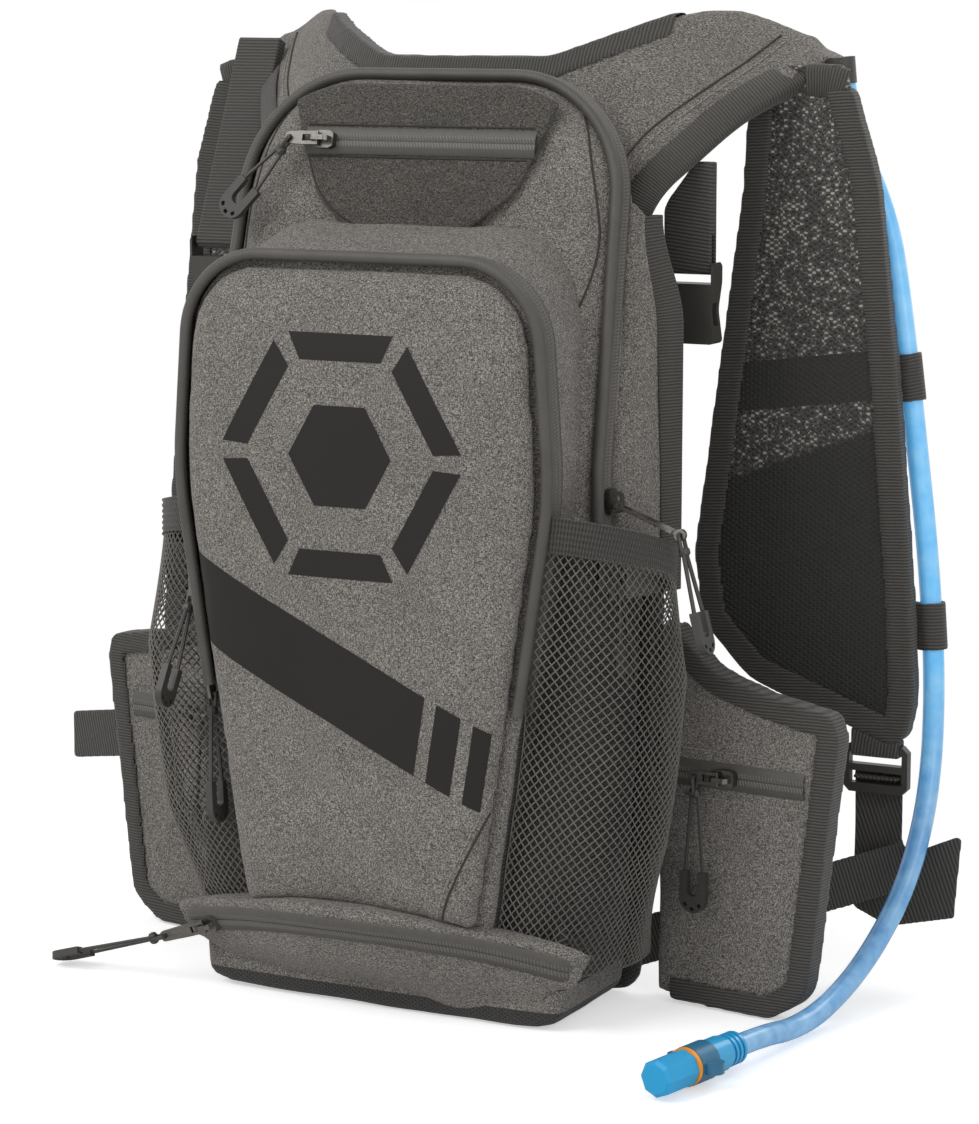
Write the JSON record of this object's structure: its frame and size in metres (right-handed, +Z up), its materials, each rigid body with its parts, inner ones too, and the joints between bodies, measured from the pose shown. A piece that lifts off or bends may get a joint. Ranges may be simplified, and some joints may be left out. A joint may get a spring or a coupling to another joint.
{
  "type": "hydration pack",
  "caption": "Vest-type hydration pack with zipped pouches, side mesh pockets, padded shoulder straps, hip wings and a drinking hose that ends in a bite valve.",
  "frame": {"origin": "middle of the base, on the floor that the pack stands on", "axes": "+X to the right seen from the front pocket, +Y towards the wearer, +Z up"},
  "size_m": [0.4753, 0.2501, 0.47],
  "materials": {
    "body_fabric": "matte",
    "chin_fabric": "matte",
    "patch_fabric": "matte",
    "back_mesh": "matte",
    "zip_coated": "satin",
    "piping_dark": "satin",
    "strap_mesh": "matte",
    "net": "matte",
    "elastic": "matte",
    "webbing": "matte",
    "buckle_plastic": "satin",
    "hose_clear": "gloss",
    "valve_blue": "gloss",
    "collar_blue": "gloss",
    "valve_orange": "satin",
    "bite_blue": "satin",
    "bag_film": "gloss",
    "cap_blue": "gloss",
    "slider_metal": "satin",
    "tab_metal": "satin",
    "grip_plastic": "satin"
  },
  "bodies": {
    "pack": {"main_compartment": "body_fabric", "zip_tape_main": "zip_coated", "piping_main": "piping_dark", "front_pocket": "body_fabric", "zip_tape_front": "zip_coated", "front_panel": "body_fabric", "piping_front": "piping_dark", "top_pocket": "patch_fabric", "zip_tape_top": "zip_coated", "bottom_pocket": "chin_fabric", "zip_tape_bottom": "zip_coated", "back_panel": "back_mesh", "back_pads": "back_mesh", "shoulder_yoke": "body_fabric", "shoulder_strap_right": "strap_mesh", "shoulder_strap_left": "strap_mesh", "mesh_pocket_right": "net", "mesh_pocket_left": "net", "pocket_hems": "elastic", "hip_wing_right": "body_fabric", "hip_wing_left": "body_fabric", "zip_tapes_hip": "zip_coated", "strap_adjusters": "buckle_plastic", "webbing_straps": "webbing", "edge_bindings": "webbing", "drink_hose": "hose_clear", "hose_port": "buckle_plastic", "hose_keepers": "elastic", "valve_body": "valve_blue", "valve_ring": "valve_orange", "bite_valve": "bite_blue", "reservoir": "bag_film"},
    "zip_slider_top": {"zip_slider_top": "slider_metal"},
    "zip_tab_top": {"zip_tab_top": "tab_metal"},
    "zip_grip_top": {"zip_grip_top": "grip_plastic"},
    "zip_slider_front_upper": {"zip_slider_front_upper": "slider_metal"},
    "zip_tab_front_upper": {"zip_tab_front_upper": "tab_metal"},
    "zip_grip_front_upper": {"zip_grip_front_upper": "grip_plastic"},
    "zip_slider_front_lower": {"zip_slider_front_lower": "slider_metal"},
    "zip_tab_front_lower": {"zip_tab_front_lower": "tab_metal"},
    "zip_grip_front_lower": {"zip_grip_front_lower": "grip_plastic"},
    "zip_slider_main_upper": {"zip_slider_main_upper": "slider_metal"},
    "zip_tab_main_upper": {"zip_tab_main_upper": "tab_metal"},
    "zip_grip_main_upper": {"zip_grip_main_upper": "grip_plastic"},
    "zip_slider_main_lower": {"zip_slider_main_lower": "slider_metal"},
    "zip_tab_main_lower": {"zip_tab_main_lower": "tab_metal"},
    "zip_grip_main_lower": {"zip_grip_main_lower": "grip_plastic"},
    "zip_slider_bottom": {"zip_slider_bottom": "slider_metal"},
    "zip_tab_bottom": {"zip_tab_bottom": "tab_metal"},
    "zip_grip_bottom": {"zip_grip_bottom": "grip_plastic"},
    "zip_slider_hip_right": {"zip_slider_hip_right": "slider_metal"},
    "zip_tab_hip_right": {"zip_tab_hip_right": "tab_metal"},
    "zip_grip_hip_right": {"zip_grip_hip_right": "grip_plastic"},
    "zip_slider_hip_left": {"zip_slider_hip_left": "slider_metal"},
    "zip_tab_hip_left": {"zip_tab_hip_left": "tab_metal"},
    "zip_grip_hip_left": {"zip_grip_hip_left": "grip_plastic"},
    "chest_buckle_right": {"chest_buckle_right": "buckle_plastic"},
    "chest_buckle_left": {"chest_buckle_left": "buckle_plastic"},
    "reservoir_cap": {"reservoir_cap": "cap_blue"},
    "shutoff_collar": {"shutoff_collar": "collar_blue"}
  },
  "joints": [
    {"name": "top_slide", "type": "slide", "parent": "pack", "child": "zip_slider_top", "axis": [1, 0, 0], "range_m": [0, 0.098]},
    {"name": "top_tab_hinge", "type": "hinge", "parent": "zip_slider_top", "child": "zip_tab_top", "pos_m": [-0.0515, 0.00078, 0.41037], "axis": [0, 0.2324, 0.9726], "range_deg": [0, 120]},
    {"name": "top_grip_hinge", "type": "hinge", "parent": "zip_tab_top", "child": "zip_grip_top", "pos_m": [-0.0655, 0.00078, 0.41037], "axis": [0, -0.9726, 0.2324], "range_deg": [-40, 15]},
    {"name": "front_upper_slide", "type": "slide", "parent": "pack", "child": "zip_slider_front_upper", "axis": [-0.1495, 0, 0.9888], "range_m": [0, 0.02]},
    {"name": "front_upper_tab_hinge", "type": "hinge", "parent": "zip_slider_front_upper", "child": "zip_tab_front_upper", "pos_m": [-0.09661, -0.0425, 0.20963], "axis": [0, 1, 0], "range_deg": [0, 80]},
    {"name": "front_upper_grip_hinge", "type": "hinge", "parent": "zip_tab_front_upper", "child": "zip_grip_front_upper", "pos_m": [-0.09698, -0.0425, 0.19464], "axis": [-0.9997, 0, 0.0245], "range_deg": [-15, 15]},
    {"name": "front_lower_slide", "type": "slide", "parent": "pack", "child": "zip_slider_front_lower", "axis": [-0.1495, 0, 0.9888], "range_m": [0, 0.02]},
    {"name": "front_lower_tab_hinge", "type": "hinge", "parent": "zip_slider_front_lower", "child": "zip_tab_front_lower", "pos_m": [-0.0892, -0.0425, 0.16064], "axis": [0, 1, 0], "range_deg": [0, 30]},
    {"name": "front_lower_grip_hinge", "type": "hinge", "parent": "zip_tab_front_lower", "child": "zip_grip_front_lower", "pos_m": [-0.08696, -0.0425, 0.1458], "axis": [-0.9888, 0, -0.1495], "range_deg": [0, 15]},
    {"name": "main_upper_slide", "type": "slide", "parent": "pack", "child": "zip_slider_main_upper", "axis": [-0.0399, 0.0607, 0.9974], "range_m": [0, 0.02]},
    {"name": "main_upper_tab_hinge", "type": "hinge", "parent": "zip_slider_main_upper", "child": "zip_tab_main_upper", "pos_m": [0.11067, -0.007, 0.24574], "axis": [-0.0024, -0.9982, 0.0606], "range_deg": [0, 60]},
    {"name": "main_upper_grip_hinge", "type": "hinge", "parent": "zip_tab_main_upper", "child": "zip_grip_main_upper", "pos_m": [0.14268, -0.00778, 0.2343], "axis": [-0.0024, -0.9982, 0.0606], "range_deg": [0, 40]},
    {"name": "main_lower_slide", "type": "slide", "parent": "pack", "child": "zip_slider_main_lower", "axis": [-0.0399, 0.0607, 0.9974], "range_m": [0, 0.004]},
    {"name": "main_lower_tab_hinge", "type": "hinge", "parent": "zip_slider_main_lower", "child": "zip_tab_main_lower", "pos_m": [0.11138, -0.00807, 0.22824], "axis": [-0.0024, -0.9982, 0.0606], "range_deg": [0, 8]},
    {"name": "main_lower_grip_hinge", "type": "hinge", "parent": "zip_tab_main_lower", "child": "zip_grip_main_lower", "pos_m": [0.11302, -0.00898, 0.21336], "axis": [-0.0024, -0.9982, 0.0606], "range_deg": [0, 4]},
    {"name": "bottom_slide", "type": "slide", "parent": "pack", "child": "zip_slider_bottom", "axis": [0.8613, -0.4491, 0.2377], "range_m": [0, 0.01]},
    {"name": "bottom_tab_hinge", "type": "hinge", "parent": "zip_slider_bottom", "child": "zip_tab_bottom", "pos_m": [-0.08967, -0.04922, 0.03166], "axis": [-0.3394, -0.1603, 0.9269], "range_deg": [-15, 40]},
    {"name": "bottom_grip_hinge", "type": "hinge", "parent": "zip_tab_bottom", "child": "zip_grip_bottom", "pos_m": [-0.11224, -0.04713, 0.02376], "axis": [-0.028, -0.9832, -0.1803], "range_deg": [-15, 5]},
    {"name": "hip_right_slide", "type": "slide", "parent": "pack", "child": "zip_slider_hip_right", "axis": [0.9925, -0.1219, 0], "range_m": [0, 0.03]},
    {"name": "hip_right_tab_hinge", "type": "hinge", "parent": "zip_slider_hip_right", "child": "zip_tab_hip_right", "pos_m": [0.14791, 0.02511, 0.114], "axis": [0, 0, 1], "range_deg": [0, 120]},
    {"name": "hip_right_grip_hinge", "type": "hinge", "parent": "zip_tab_hip_right", "child": "zip_grip_hip_right", "pos_m": [0.136, 0.02657, 0.114], "axis": [-0.1219, -0.9925, 0], "range_deg": [0, 10]},
    {"name": "hip_left_slide", "type": "slide", "parent": "pack", "child": "zip_slider_hip_left", "axis": [-0.9816, 0.1908, 0], "range_m": [0, 0.03]},
    {"name": "hip_left_tab_hinge", "type": "hinge", "parent": "zip_slider_hip_left", "child": "zip_tab_hip_left", "pos_m": [-0.15177, 0.0366, 0.114], "axis": [0, 0, -1], "range_deg": [0, 120]},
    {"name": "hip_left_grip_hinge", "type": "hinge", "parent": "zip_tab_hip_left", "child": "zip_grip_hip_left", "pos_m": [-0.13999, 0.03431, 0.114], "axis": [-0.1908, -0.9816, 0], "range_deg": [-10, 0]},
    {"name": "chest_buckle_right_swing", "type": "hinge", "parent": "pack", "child": "chest_buckle_right", "pos_m": [0.112, 0.07, 0.35], "axis": [1, 0, 0], "range_deg": [-20, 60]},
    {"name": "chest_buckle_left_swing", "type": "hinge", "parent": "pack", "child": "chest_buckle_left", "pos_m": [-0.148, 0.07, 0.354], "axis": [1, 0, 0], "range_deg": [-20, 60]},
    {"name": "reservoir_cap_turn", "type": "hinge", "parent": "pack", "child": "reservoir_cap", "pos_m": [0, 0.01572, 0.318], "axis": [0, -1, 0], "range_deg": [0, 90]},
    {"name": "shutoff_collar_turn", "type": "hinge", "parent": "pack", "child": "shutoff_collar", "pos_m": [0.18333, -0.07817, 0.01], "axis": [-0.2004, -0.9797, 0], "range_deg": [-25, 25]}
  ]
}
